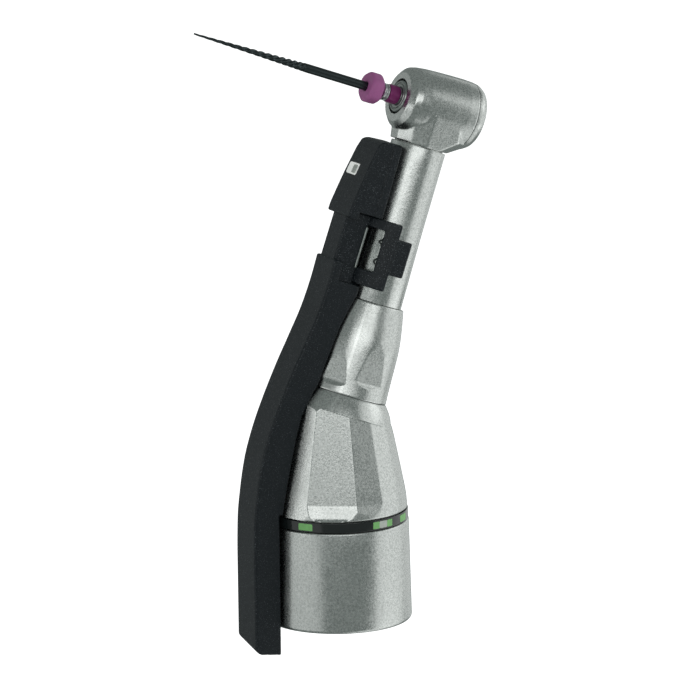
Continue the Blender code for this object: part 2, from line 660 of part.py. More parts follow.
def body_clearance(name):
    """The handpiece's outside grown by the rail's gap, to cut the rail's inner face."""
    handle = turned(name + "_handle", [
        (0, CONE_FOOT + 0.1), (SLEEVE_R + RAIL_GAP, CONE_FOOT + 0.1), (SLEEVE_R + RAIL_GAP, -6), (0, -6)],
        BASE, steps=64, helper=True)
    cone = loft(name + "_cone", cone_sections(RAIL_GAP), BASE, helper=True)
    grip = [(r + RAIL_GAP, a) for a, r in reversed(GRIP_PROFILE)]
    neck = turned(name + "_neck", [
        (0, 40), (NECK_TOP_R + RAIL_GAP, 40), (NECK_FOOT_R + RAIL_GAP, SEAM_B + 0.4), (grip[0][0], SEAM_B + 0.35),
        *grip[1:-1], (SEAM_A_R + RAIL_GAP, 3.0), (0, 3.0)], NECK, steps=64, helper=True)
    return handle, cone, neck


def electrode_rail():
    cutters = body_clearance("rail_clearance")
    rail = loft("rail_body", rail_path_sections(RAIL_W / 2, rail_outer(), 4.6), BASE, black_plastic())
    rounded(rail, 0.35, 2)
    arm = block("rail_arm", (-8.3, -ARM_W / 2, 19.0), (-4.0, ARM_W / 2, 27.4), NECK, helper=True)
    modify(rail, arm, "UNION")
    modify(rail, rail_foot_cut())
    clip_seat = rod("clip_seat", CLIP_R + GAP + 0.02, CLIP_LOW - GAP, CLIP_HIGH + GAP, NECK, steps=64, helper=True)
    clip_ways = [block(f"clip_way_{name}", low, high, NECK, helper=True) for name, low, high in (
        ("near", (-7.2, -6, CLIP_LOW - 0.25), (3, -ARM_W / 2, CLIP_HIGH + GAP)),
        ("far", (-7.2, ARM_W / 2, CLIP_LOW - 0.25), (3, 6, CLIP_HIGH + GAP)))]
    for cutter in (*cutters, clip_seat, *clip_ways):
        modify(rail, cutter)
    modify(rail, block("socket_space", (-13.1, -1.9, -5), (-10.9, 1.9, 3.2), BASE, helper=True))
    cap_rows = []
    for a, outer, half in ((26.45, 8.7, 3.5), (27.6, 8.65, 3.5), (32.0, 8.05, 3.4), (35.6, 7.45, 3.25),
                           (36.9, 7.05, 3.1), (37.4, 6.5, 2.9)):
        cap_rows.append([(-outer, -half, a), (-outer, half, a), (-3.7, half, a), (-3.7, -half, a)])
    cap = loft("rail_cap", cap_rows, NECK, black_plastic())
    rounded(cap, 0.45, 2)
    for cutter in (cutters[2], clip_seat, *clip_ways):
        modify(cap, cutter)
    modify(cap, block("arm_pocket", (-8.3 - GAP, -ARM_W / 2 - GAP, 26), (-3, ARM_W / 2 + GAP, 27.45), NECK,
                      helper=True))
    modify(cap, block("lens_pocket", (-9.5, -0.85, 31.9), (-6.9, 2.55, 33.6), NECK, helper=True))
    lens = block("signal_lens", (-8.1, -0.8, 31.95), (-7.0, 2.5, 33.55), NECK, white_paint())
    rounded(lens, 0.25, 2)
    tube_clip()
    contact_spring()
    ring("lead_socket", 1.0, 0.55, -2.7, 2.9, frame("socket_frame", BASE, (-12.0, 0, 0), 0), brass(), 16)


def rail_foot_cut():
    """The foot's underside: it rises a little away from the handle's near side, with its outer edge cut back."""
    corners = []
    for x, rise in ((-20.0, 6.0), (-13.1, 0.35), (-5.0, -0.35)):
        corners.append((x, rise))
    low, high = [], []
    for y, lift in ((-5.0, -4.05), (5.0, -2.25)):
        row = [(x, y, lift + rise) for x, rise in corners] + [(-5.0, y, -9.0), (-20.0, y, -9.0)]
        (low if y < 0 else high).extend(row)
    return loft("rail_foot_trim", [high, low], BASE, helper=True)


def contact_spring():
    """A fine wire in the clip's near window, its two bows resting against the neck's side of the frame."""
    steps, sides, wire = 30, 6, 0.12
    rows = []
    for i in range(steps + 1):
        share = i / steps
        bow = 4.2 * (math.exp(-((share - 0.24) / 0.07) ** 2) + math.exp(-((share - 0.74) / 0.07) ** 2))
        angle = math.radians(180 + 49.5 - bow)
        centre = Vector((4.75 * math.cos(angle), 4.75 * math.sin(angle), 20.45 + 5.4 * share))
        out = Vector((math.cos(angle), math.sin(angle), 0))
        across = Vector((-math.sin(angle), math.cos(angle), 0))
        rows.append([centre + wire * (math.cos(t) * out + math.sin(t) * across) for t in
                     (2 * math.pi * k / sides for k in range(sides))])
    return loft("contact_spring", rows, NECK, brass())


def clip_arc(name, inner, outer, low, high, start, end, steps, material=None, helper=False):
    """An arc-shaped bar about the neck, from one angle to the other in degrees from the file's side."""
    rows = []
    for i in range(steps + 1):
        angle = math.radians(180 + start + (end - start) * i / steps)
        rows.append([(r * math.cos(angle), r * math.sin(angle), a) for r, a in
                     ((inner, low), (outer, low), (outer, high), (inner, high))])
    return loft(name, rows, NECK, material, helper)


def tube_clip():
    """The snap clip: a C round the neck with a window in each arm and a flared lip at its ends."""
    clip = clip_arc("tube_clip", NECK_FOOT_R + 0.12, CLIP_R, CLIP_LOW, CLIP_HIGH, -78, 78, 26, black_plastic())
    for name, side in (("near", 1), ("far", -1)):
        start, end = sorted((side * 14, side * 52))
        modify(clip, clip_arc(f"clip_window_{name}", 3.5, 6.0, 20.3, 26.0, start, end, 8, helper=True))
        lip = block(f"clip_lip_{name}", (-1.4, -5.1, 20.5), (0.9, -4.4, 25.4), NECK, helper=True)
        if side < 0:
            lip.rotation_euler = (math.pi, 0, 0)
            lip.location = (0, 0, 45.9 * MM)
        modify(clip, lip, "UNION")


# ---------------------------------------------------------------- build
clear_scene()
PARTS = collection("endodontic_handpiece")
HELPERS = collection("cutters")
BASE = frame("handle_frame", None, (0, 0, 0), 0)
NECK = frame("neck_frame", BASE, (0, 0, ELBOW_Z), BEND)
HEAD = frame("head_frame", NECK, (0, 0, HEAD_A), -math.pi / 2)

torque_selector()
rear_coupling()
input_shaft()
planet_stage()
mid_shaft()
cone_housing()
grip_sleeve()
neck_tube()
head_housing()
chuck()
push_button()
root_canal_file()
electrode_rail()
bpy.context.view_layer.update()
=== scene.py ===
"""The looks of the geared contra-angle handpiece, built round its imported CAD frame."""
import json
import math

import bpy
import numpy as np
from mathutils import Matrix, Vector


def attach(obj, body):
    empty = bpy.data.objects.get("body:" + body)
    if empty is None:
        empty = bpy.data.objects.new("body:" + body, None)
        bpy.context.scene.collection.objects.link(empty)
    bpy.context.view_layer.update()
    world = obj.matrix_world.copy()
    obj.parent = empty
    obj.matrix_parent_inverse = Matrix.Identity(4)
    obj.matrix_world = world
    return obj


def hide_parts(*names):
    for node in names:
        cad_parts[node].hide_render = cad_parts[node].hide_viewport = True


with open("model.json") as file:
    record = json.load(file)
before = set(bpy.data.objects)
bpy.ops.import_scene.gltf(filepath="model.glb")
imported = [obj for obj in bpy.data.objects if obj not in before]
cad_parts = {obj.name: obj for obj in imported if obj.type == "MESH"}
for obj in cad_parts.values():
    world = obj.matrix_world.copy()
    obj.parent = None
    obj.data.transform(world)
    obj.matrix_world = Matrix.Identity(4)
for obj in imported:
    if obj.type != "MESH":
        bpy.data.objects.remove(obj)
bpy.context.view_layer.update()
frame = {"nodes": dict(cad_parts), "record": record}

MM = 0.001
BEND = math.radians(19.4)
ELBOW_Z, HEAD_A = 27.6, 43.7
BASE = Matrix.Identity(4)
NECK = Matrix.Translation((0, 0, ELBOW_Z * MM)) @ Matrix.Rotation(BEND, 4, "Y")
HEAD = NECK @ Matrix.Translation((0, 0, HEAD_A * MM)) @ Matrix.Rotation(-math.pi / 2, 4, "Y")


# ---------------------------------------------------------------- node materials
def principled(name, colour, roughness, metallic=0.0, **more):
    """A material with its node tree and its Principled node, the named inputs set."""
    made = bpy.data.materials.new(name)
    made.use_nodes = True
    tree = made.node_tree
    shader = tree.nodes["Principled BSDF"]
    shader.inputs["Base Color"].default_value = (*colour, 1)
    shader.inputs["Roughness"].default_value = roughness
    shader.inputs["Metallic"].default_value = metallic
    for socket, value in more.items():
        shader.inputs[socket.replace("_", " ")].default_value = value
    return made, tree, shader


def add(tree, kind, links=(), **values):
    """A node with its values set, and its inputs linked to the given output sockets."""
    node = tree.nodes.new("ShaderNode" + kind)
    for key, value in values.items():
        if hasattr(node, key):
            setattr(node, key, value)
        else:
            node.inputs[key.replace("_", " ")].default_value = value
    for key, socket in dict(links).items():
        tree.links.new(socket, node.inputs[key])
    return node


def noise(tree, size_mm, detail=2.0, rough=0.5, kind="Fac", stretch=(1, 1, 1)):
    """Noise with grains about that many millimetres across, in the object's own space."""
    where = add(tree, "TexCoord")
    mapped = add(tree, "Mapping", {"Vector": where.outputs["Object"]})
    mapped.inputs["Scale"].default_value = stretch
    grain = add(tree, "TexNoise", {"Vector": mapped.outputs["Vector"]}, Scale=1 / (size_mm * MM), Detail=detail,
                Roughness=rough)
    return grain.outputs[kind]


def spread(tree, socket, low, high, from_low=0.3, from_high=0.7):
    """The socket's value mapped to run from low to high."""
    mapped = add(tree, "MapRange", {"Value": socket}, From_Min=from_low, From_Max=from_high, To_Min=low, To_Max=high)
    return mapped.outputs["Result"]


def blend_colours(tree, fac, one, two):
    mixed = add(tree, "Mix", data_type="RGBA")
    tree.links.new(fac, mixed.inputs["Factor"])
    mixed.inputs[6].default_value = (*one, 1)
    mixed.inputs[7].default_value = (*two, 1)
    return mixed.outputs[2]


def bumped(tree, shader, height, strength, depth_mm):
    bump = add(tree, "Bump", {"Height": height}, Strength=strength, Distance=depth_mm * MM)
    tree.links.new(bump.outputs["Normal"], shader.inputs["Normal"])


def edge_share(tree, low=0.52, high=0.60):
    """0 on flat ground and 1 along outer edges."""
    shape = add(tree, "NewGeometry")
    return spread(tree, shape.outputs["Pointiness"], 0.0, 1.0, low, high)


def blasted_metal(name, colour, light, roughness, grain=0.22, strength=0.35):
    """Bead-blasted plated metal: fine grain in the surface, cloudy gloss, and a painted highlight that makes the edges
    brighter.
    """
    made, tree, shader = principled(name, colour, roughness, 1.0)
    fine = noise(tree, grain, 3.0, 0.6)
    cloud = noise(tree, 3.5, 3.0)
    # painted highlight: along outer edges the colour turns to the light colour
    edge_highlight = edge_share(tree)
    speckled = blend_colours(tree, spread(tree, fine, 0, 1, 0.35, 0.65), [c * 0.86 for c in colour], light)
    # the edges take the light colour as a painted highlight
    edge_highlit = add(tree, "Mix", data_type="RGBA")
    tree.links.new(edge_highlight, edge_highlit.inputs["Factor"])
    tree.links.new(speckled, edge_highlit.inputs[6])
    edge_highlit.inputs[7].default_value = (*light, 1)
    tree.links.new(edge_highlit.outputs[2], shader.inputs["Base Color"])
    gloss = add(tree, "Math", {0: spread(tree, cloud, roughness - 0.04, roughness + 0.05),
                               1: spread(tree, fine, -0.04, 0.04)}, operation="ADD")
    tree.links.new(gloss.outputs[0], shader.inputs["Roughness"])
    bumped(tree, shader, fine, strength, 0.02)
    return made


def ground_metal(name, colour, roughness, along=(1, 1, 14)):
    """Turned or ground metal with fine lines round it."""
    made, tree, shader = principled(name, colour, roughness, 1.0)
    lines = noise(tree, 0.6, 3.0, 0.6, stretch=along)
    cloud = noise(tree, 1.6, 2.0)
    tone = blend_colours(tree, spread(tree, cloud, 0, 1), [c * 0.88 for c in colour], colour)
    tree.links.new(tone, shader.inputs["Base Color"])
    tree.links.new(spread(tree, lines, roughness - 0.05, roughness + 0.09), shader.inputs["Roughness"])
    bumped(tree, shader, lines, 0.12, 0.01)
    return made


def moulded_plastic(name, colour, glint_colour, roughness, strength=0.4):
    """Spark-textured black moulding, with pale dots painted into the colour as glints where the texture catches light:
    a painted highlight.
    """
    made, tree, shader = principled(name, colour, roughness, 0.0, Specular_IOR_Level=0.32)
    fine = noise(tree, 0.17, 2.0, 0.6)
    dots = noise(tree, 0.12, 1.0)
    # pale dots painted in as glints, a painted highlight
    glint_share = spread(tree, dots, 0, 1, 0.62, 0.76)
    tone = blend_colours(tree, glint_share, colour, glint_colour)
    tree.links.new(tone, shader.inputs["Base Color"])
    tree.links.new(spread(tree, fine, roughness - 0.07, roughness + 0.10), shader.inputs["Roughness"])
    bumped(tree, shader, fine, strength, 0.03)
    return made


def painted(name, colour, roughness, grain=0.4, strength=0.1, shade=0.85, **more):
    """Enamel, anodising or rubber: a nearly even colour with a little mottling."""
    made, tree, shader = principled(name, colour, roughness, **more)
    fine = noise(tree, grain, 3.0, 0.6)
    tone = blend_colours(tree, spread(tree, fine, 0, 1), [c * shade for c in colour], colour)
    tree.links.new(tone, shader.inputs["Base Color"])
    tree.links.new(spread(tree, fine, roughness - 0.05, roughness + 0.06), shader.inputs["Roughness"])
    bumped(tree, shader, fine, strength, 0.02)
    return made


LOOKS = {
    "satin_nickel": blasted_metal("satin_nickel_blasted", (0.58, 0.605, 0.585), (0.76, 0.78, 0.76), 0.27, 0.24, 0.52),
    "hardened_steel": ground_metal("hardened_steel_ground", (0.62, 0.63, 0.64), 0.20),
    "bearing_bronze": ground_metal("bronze_turned", (0.70, 0.50, 0.26), 0.28),
    # the second colour is the pale colour of the painted glints
    "black_plastic": moulded_plastic("black_moulding", (0.0085, 0.0128, 0.0165), (0.15, 0.165, 0.18), 0.42),
    "black_anodised": painted("black_glossy_band", (0.012, 0.016, 0.016), 0.16, 0.6, 0.05, Coat_Weight=0.5,
                              Coat_Roughness=0.1),
    "green_enamel": painted("green_inlay", (0.28, 0.68, 0.22), 0.40),
    "white_enamel": painted("pale_inlay", (0.68, 0.72, 0.66), 0.40),
    "purple_anodised": painted("magenta_anodised", (0.30, 0.034, 0.19), 0.32, 0.5, 0.1, Metallic=0.2),
    "pink_silicone": painted("pink_silicone_rubber", (0.52, 0.15, 0.40), 0.50, 0.5, 0.15, 0.9,
                             Subsurface_Weight=0.08, Subsurface_Radius=(0.0008, 0.0004, 0.0006)),
    "dark_alloy": ground_metal("dark_file_alloy", (0.055, 0.068, 0.070), 0.30, (3, 3, 3)),
}
NOSE_STEEL = blasted_metal("nose_steel", (0.30, 0.33, 0.32), (0.42, 0.45, 0.43), 0.30, 0.3, 0.2)
DARK_SPRING = ground_metal("dark_spring_wire", (0.06, 0.065, 0.065), 0.35)
LENS_CORE = painted("lens_core", (0.55, 0.58, 0.54), 0.35, 0.5, 0.05)
# The pale rim is given a faint emission: a painted glow that makes it brighter than the lights do.
RIM_PAINTED_GLOW = painted("lens_rim_painted_glow", (0.85, 0.88, 0.86), 0.30, 0.5, 0.05, Emission_Color=(1, 1, 0.97, 1),
                   Emission_Strength=0.30)


# ---------------------------------------------------------------- mesh makers
def show(name, verts, faces, where, body, slot, stands_for=(), material=None, sharp=35):
    """A finished piece: points in millimetres in the frame `where`, riding on a CAD body."""
    mesh = bpy.data.meshes.new(name)
    matrix = np.array(where)
    points = np.asarray(verts, float) * MM
    points = points @ matrix[:3, :3].T + matrix[:3, 3]
    mesh.from_pydata(points.tolist(), [], faces)
    mesh.shade_smooth()
    mesh.set_sharp_from_angle(angle=math.radians(sharp))
    piece = bpy.data.objects.new(name, mesh)
    bpy.context.scene.collection.objects.link(piece)
    mesh.materials.append(material or LOOKS[slot])
    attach(piece, body)
    if stands_for:
        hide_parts(*stands_for)
    return piece


def ring_rows(rows, closed):
    """Vertices and quads of rows of points, each row a closed loop. Closed joins last row to first."""
    count, columns = rows.shape[:2]
    index = np.arange(count * columns).reshape(count, columns)
    low = index if closed else index[:-1]
    high = np.roll(index, -1, 0) if closed else index[1:]
    quads = np.stack([low, np.roll(low, -1, 1), np.roll(high, -1, 1), high], -1).reshape(-1, 4)
    return rows.reshape(-1, 3), quads.tolist()


def rounded_profile(profile, radius, closed, steps=4):
    """The profile with each corner turned into a small arc, never longer than the sides allow."""
    points = [np.array(p[:2], float) for p in profile]
    made = []
    count = len(points)
    for i, point in enumerate(points):
        if not closed and i in (0, count - 1):
            made.append(point)
            continue
        before, after = points[i - 1] - point, points[(i + 1) % count] - point
        want = profile[i][2] if len(profile[i]) > 2 else radius
        reach = min(want, np.linalg.norm(before) * 0.45, np.linalg.norm(after) * 0.45)
        start = point + before / max(np.linalg.norm(before), 1e-9) * reach
        end = point + after / max(np.linalg.norm(after), 1e-9) * reach
        for share in np.linspace(0, 1, steps):
            made.append((1 - share) ** 2 * start + 2 * share * (1 - share) * point + share ** 2 * end)
    return np.array(made)


def turned(name, profile, where, body, slot, stands_for=(), steps=128, edge=0.08, **more):
    """A turned piece. A profile that starts and ends on the axis is solid, any other is a ring."""
    solid = profile[0][0] == 0
    line = rounded_profile(profile, edge, not solid)
    angles = np.arange(steps) * 2 * math.pi / steps
    inner = line[1:-1] if solid else line
    rows = np.stack([inner[:, :1] * np.cos(angles), inner[:, :1] * np.sin(angles),
                     np.repeat(inner[:, 1:], steps, 1)], -1)
    verts, faces = ring_rows(rows, not solid)
    if solid:
        verts = np.vstack([verts, [[0, 0, line[0, 1]], [0, 0, line[-1, 1]]]])
        top, bottom, last = len(verts) - 2, len(verts) - 1, (len(inner) - 1) * steps
        faces += [(top, (i + 1) % steps, i) for i in range(steps)]
        faces += [(bottom, last + i, last + (i + 1) % steps) for i in range(steps)]
    return show(name, verts, faces, where, body, slot, stands_for, **more)


def smax(one, two, radius):
    """The larger of two fields, their meeting edge rounded over that radius."""
    near = np.maximum(radius - np.abs(one - two), 0) / radius
    return np.maximum(one, two) + near * near * radius / 4


def smin(one, two, radius):
    return -smax(-one, -two, radius)


def box_field(x, y, z, low, high, radius):
    made = None
    for at, bottom, top in zip((x, y, z), low, high):
        slab = np.abs(at - (bottom + top) / 2) - (top - bottom) / 2
        made = slab if made is None else smax(made, slab, radius)
    return made


def carved(name, field, low, high, cell, where, body, slot, stands_for=(), **more):
    """A piece from a distance field, negative inside: a quad net over the surface, pulled onto it."""
    axes = [np.arange(a, b + cell, cell) for a, b in zip(low, high)]
    values = field(*np.meshgrid(*axes, indexing="ij"))
    inside = values < 0
    shape = [n - 1 for n in inside.shape]
    corner = [(i, j, k) for i in (0, 1) for j in (0, 1) for k in (0, 1)]
    cut = [tuple(slice(o, o + n) for o, n in zip(c, shape)) for c in corner]
    count = sum(inside[c].astype(np.int8) for c in cut)
    cells = np.argwhere((count > 0) & (count < 8))
    total, crossings = np.zeros((len(cells), 3)), np.zeros(len(cells))
    for a in range(8):
        for b in range(a + 1, 8):
            step = np.subtract(corner[b], corner[a])
            if np.abs(step).sum() != 1:
                continue
            start, end = cells + corner[a], cells + corner[b]
            first, second = values[tuple(start.T)], values[tuple(end.T)]
            crossed = (first < 0) != (second < 0)
            share = np.where(crossed, first / np.where(crossed, first - second, 1), 0)
            total += np.where(crossed[:, None], start + share[:, None] * step, 0)
            crossings += crossed
    points = total / crossings[:, None] * cell + np.array(low)
    numbers = np.full(shape, -1, np.int64)
    numbers[tuple(cells.T)] = np.arange(len(cells))
    faces = []
    for axis in range(3):
        here = [slice(None)] * 3
        there = [slice(None)] * 3
        here[axis], there[axis] = slice(0, -1), slice(1, None)
        change = inside[tuple(here)].astype(np.int8) - inside[tuple(there)]
        across, up = [i for i in range(3) if i != axis]
        if axis == 1:
            across, up = up, across
        for sign in (1, -1):
            edge = np.argwhere(change == sign)
            keep = (edge[:, across] > 0) & (edge[:, up] > 0)
            keep &= (edge[:, across] < shape[across]) & (edge[:, up] < shape[up])
            edge = edge[keep]
            ring = []
            for back_across, back_up in ((1, 1), (0, 1), (0, 0), (1, 0)):
                at = edge.copy()
                at[:, across] -= back_across
                at[:, up] -= back_up
                ring.append(numbers[tuple(at.T)])
            quads = np.stack(ring if sign > 0 else ring[::-1], 1)
            faces += quads.tolist()
    tiny = cell * 0.02
    for _ in range(4):
        value = field(*points.T)
        slope = np.stack([(field(*(points + tiny * e).T) - field(*(points - tiny * e).T)) / (2 * tiny)
                          for e in np.eye(3)], 1)
        move = value[:, None] * slope / np.maximum((slope ** 2).sum(1), 0.1)[:, None]
        points -= np.clip(move, -cell / 2, cell / 2) * 0.9
    return show(name, points, faces, where, body, slot, stands_for, **more)


# ---------------------------------------------------------------- rear coupling
def rear_pieces():
    turned("torque_sleeve", [
        (8.75, 0.0), (9.75, 0.0, 0.3), (10.0, 0.3, 0.3), (9.68, 13.6, 0.15), (9.5, 13.75), (9.12, 13.75),
        (9.12, 15.16), (8.75, 15.16), (8.75, 12.4), (9.3, 12.4), (9.3, 8.7), (8.75, 8.7)],
        BASE, "selector", "satin_nickel", ["selector_sleeve"], 200)
    turned("band_ring", [
        (9.16, 13.82), (9.53, 13.82, 0.05), (9.57, 13.88, 0.05), (9.57, 15.12, 0.05), (9.53, 15.18, 0.05), (9.16, 15.18)],
        BASE, "selector", "black_anodised", ["marking_band"], 200, 0.03)
    marks = [(38.6, 12.4, 1, "green_enamel"), (133.0, 12.0, 2, "green_enamel"), (-127.0, 12.0, 3, "green_enamel"),
             (98.3, 6.2, 4, "green_enamel"), (105.3, 8.0, 5, "white_enamel"), (112.3, 6.0, 6, "green_enamel")]
    for middle, width, number, slot in marks:
        band_mark(f"band_mark_{number}", middle, width, slot, f"torque_mark_{number}")


def band_mark(name, middle, width, slot, node):
    """A short enamel bar let into the band, crowned a little, its corners rounded."""
    columns, rows = 24, 10
    verts, faces = [], []
    for layer, (radius, grow) in enumerate(((9.575, 1.0), (9.585, 0.93), (9.45, 1.0))):
        for i in range(rows + 1):
            for j in range(columns + 1):
                v, u = 2 * i / rows - 1, 2 * j / columns - 1
                across = u * math.sqrt(max(0.0, 1 - 0.10 * v ** 8))
                up = v * math.sqrt(max(0.0, 1 - 0.14 * u ** 8))
                angle = math.radians(180 + middle + across * width / 2 * grow)
                verts.append((radius * math.cos(angle), radius * math.sin(angle), 14.5 + up * 0.47 * grow))
    stride = (rows + 1) * (columns + 1)

    def at(layer, i, j):
        return layer * stride + i * (columns + 1) + j

    for i in range(rows):
        for j in range(columns):
            faces.append((at(1, i, j), at(1, i, j + 1), at(1, i + 1, j + 1), at(1, i + 1, j)))
            faces.append((at(2, i + 1, j), at(2, i + 1, j + 1), at(2, i, j + 1), at(2, i, j)))
    rim = [(0, j) for j in range(columns)] + [(i, columns) for i in range(rows)]
    rim += [(rows, columns - j) for j in range(columns)] + [(rows - i, 0) for i in range(rows)]
    for k, (i, j) in enumerate(rim):
        ni, nj = rim[(k + 1) % len(rim)]
        faces.append((at(0, i, j), at(0, ni, nj), at(1, ni, nj), at(1, i, j)))
        faces.append((at(2, i, j), at(2, ni, nj), at(0, ni, nj), at(0, i, j)))
    show(name, verts, faces, BASE, "selector", slot, [node])


# ---------------------------------------------------------------- casings
def smooth_line(at, xs, ys):
    """A smooth monotone curve through the points, evaluated at `at`."""
    xs, ys = np.array(xs, float), np.array(ys, float)
    step = np.diff(xs)
    slope = np.diff(ys) / step
    inner = np.where(slope[1:] * slope[:-1] > 0, 2 * slope[1:] * slope[:-1] / (slope[1:] + slope[:-1] + 1e-12), 0)
    tangent = np.concatenate([[slope[0]], inner, [slope[-1]]])
    i = np.clip(np.searchsorted(xs, at) - 1, 0, len(xs) - 2)
    t = np.clip((at - xs[i]) / step[i], 0, 1)
    h00, h10 = 2 * t ** 3 - 3 * t ** 2 + 1, t ** 3 - 2 * t ** 2 + t
    h01, h11 = -2 * t ** 3 + 3 * t ** 2, t ** 3 - t ** 2
    return h00 * ys[i] + h10 * step[i] * tangent[i] + h01 * ys[i + 1] + h11 * step[i] * tangent[i + 1]


FOOT, CREST, CREST_R = 15.3, 3.45, 5.92
# For each flat: its middle angle, half its width below and above, its radius above, and 1 where it fades at the foot.
FLATS = ((27.0, 13.0, 14.0, 7.12, 0.0), (60.0, 22.0, 21.0, 7.24, 1.0), (94.0, 13.0, 13.0, 7.16, 1.0),
         (112.0, 1.5, 9.0, 7.20, 0.0))
FLAT_END = 0.62  # the flats all stop at this level on the neck axis


def elbow_pieces():
    columns = 480
    share = np.concatenate([[0, 0.006], np.linspace(0.012, 0.66, 70), np.linspace(0.664, 0.90, 110),
                            np.linspace(0.91, 0.992, 10), [1.0]])
    radius = smooth_line(share, (0, 0.1, 0.28, 0.47, 0.64, 0.80, 0.90, 1.0),
                         (9.50, 9.36, 8.86, 8.28, 7.80, 7.36, 6.76, CREST_R))
    radius[0] -= 0.10
    radius[1] -= 0.03
    radius[-1] -= 0.06
    tilt = smooth_line(share, (0, 0.36, 0.62, 0.84, 1.0), (0, 0.0, 0.12, 0.55, 1.0)) * BEND
    top = ELBOW_Z + CREST * math.cos(BEND)
    height = FOOT + share * (top - FOOT)
    lean_x = np.maximum(0, height - ELBOW_Z) * math.tan(BEND)
    angle = np.arange(columns) * 2 * math.pi / columns
    centre = np.stack([lean_x, 0 * height, height], -1)[:, None, :]
    out = np.cos(angle)[None, :, None] * np.stack([np.cos(tilt), 0 * tilt, -np.sin(tilt)], -1)[:, None, :]
    out = out + np.sin(angle)[None, :, None] * np.array([0, 1, 0])
    reach = np.repeat(radius[:, None], columns, 1)
    first = centre + reach[..., None] * out
    along = first[..., 0] * math.sin(BEND) + (first[..., 2] - ELBOW_Z) * math.cos(BEND)
    for middle, low_half, high_half, high_r, run_out in FLATS:
        for side in (1, -1):
            turn = math.radians(180 + side * middle)
            outward = np.array([math.cos(turn), math.sin(turn), 0])
            low_chord, high_chord = math.cos(math.radians(low_half)), math.cos(math.radians(high_half))
            low_point = outward * (9.26 * low_chord - 0.04) + np.array([0, 0, 16.9])
            high_point = outward * (high_r * high_chord - 0.04) + np.array([0, 0, 27.6])
            normal = np.cross(np.array([-outward[1], outward[0], 0]), high_point - low_point)
            normal /= np.linalg.norm(normal)
            normal = normal if normal @ outward > 0 else -normal
            facing = out @ normal
            below = np.maximum(0, 17.2 - centre[..., 2])
            drop = run_out * (0.2 * below + 2.0 * np.maximum(0, below - 1.6) ** 2)
            off = np.cos(math.radians(110) - np.abs((angle + math.pi) % (2 * math.pi) - math.pi))[None, :]
            stop = np.clip((along - FLAT_END - 0.30 * off) / 0.26, 0, 1)
            drop = drop + 1.5 * stop * stop * (3 - 2 * stop)
            plane = ((low_point - centre) @ normal + drop) / np.maximum(facing, 0.2)
            reach = np.where(facing > 0.2, smin(reach, plane, 0.05), reach)
    outer = centre + reach[..., None] * out
    bore = [(4.75, None), (4.75, 25.2), (2.9, 24.7), (2.9, 24.05), (3.55, 24.05), (3.55, 21.9), (5.5, 21.9),
            (5.5, 20.1), (7.1, 20.1), (7.1, 17.05), (8.25, 17.05), (8.65, 16.5), (8.65, FOOT)]
    inner = []
    for r, z in bore:
        if z is None:
            inner.append(centre[-1] + r * out[-1])
        else:
            inner.append(np.stack([r * np.cos(angle), r * np.sin(angle), np.full(columns, z)], -1))
    verts, faces = ring_rows(np.concatenate([outer, np.array(inner)]), True)
    show("elbow_casing", verts, faces, BASE, "handpiece", "satin_nickel", ["elbow_housing"])


# For each scallop: its middle angle, depth, foot and slope outwards.
SCALLOPS = ((44.0, 5.50, 4.95, 0.034), (94.5, 5.36, 5.75, 0.022))


def grip_pieces():
    columns, levels = 360, 120
    height = np.concatenate([[3.51, 3.54], np.linspace(3.60, 16.22, levels), [16.27, 16.30]])
    radius = smooth_line(height, (3.5, 5.0, 6.5, 8.2, 10.4, 12.2, 14.0, 15.4, 16.3),
                         (5.90, 5.80, 5.73, 5.66, 5.55, 5.34, 5.02, 4.72, 4.52))
    radius[0] -= 0.09
    radius[1] -= 0.03
    radius[-2] -= 0.03
    radius[-1] -= 0.09
    angle = np.arange(columns) * 2 * math.pi / columns
    reach = np.repeat(radius[:, None], columns, 1)
    for middle, depth, foot, slope in SCALLOPS:
        for side in (1, -1):
            facing = np.cos(angle - math.radians(180 + side * middle))[None, :]
            drop = 0.4 * np.maximum(0, foot - height) + np.maximum(0, foot - height) ** 2 / 2
            plane = (depth + slope * (height - foot) + drop)[:, None] / np.maximum(facing, 0.2)
            reach = np.where(facing > 0.2, smin(reach, plane, 0.04), reach)
    outer = np.stack([reach * np.cos(angle), reach * np.sin(angle), np.repeat(height[:, None], columns, 1)], -1)
    bore = ((3.4, 16.3), (3.4, 4.9), (3.0, 4.9), (3.0, 2.3), (4.7, 2.3), (4.7, 3.51))
    inner = [np.stack([r * np.cos(angle), r * np.sin(angle), np.full(columns, z)], -1) for r, z in bore]
    verts, faces = ring_rows(np.concatenate([outer, np.array(inner)]), True)
    show("grip_casing", verts, faces, NECK, "handpiece", "satin_nickel", ["grip_sleeve"])
    turned("neck_casing", [
        (2.85, 38.18), (3.35, 38.18, 0.02), (3.36, 38.04, 0.02), (3.76, 38.04, 0.05), (3.80, 34.0, 2), (3.88, 27.0, 2),
        (4.12, 16.36, 0.05), (3.35, 16.36), (3.35, 11.5), (2.5, 11.5), (2.5, 34.3), (2.85, 34.3)][::-1],
        NECK, "handpiece", "satin_nickel", ["neck_tube"], 160)


# ---------------------------------------------------------------- head
# For each plane of the collar: its angle from the file's side, its base, its slope and how far up the slope runs.
COLLAR = ((0, 4.02, 0.14, 3.5), (34, 3.86, 0.18, 4.6), (62, 3.80, 0.17, 4.6), (92, 3.84, 0.16, 4.6),
          (126, 3.82, 0.9, 1.7), (156, 3.80, 1.5, 1.6), (180, 3.80, 2.0, 1.3))
HEAD_BACK = -4.95  # the seam with the bezel ring


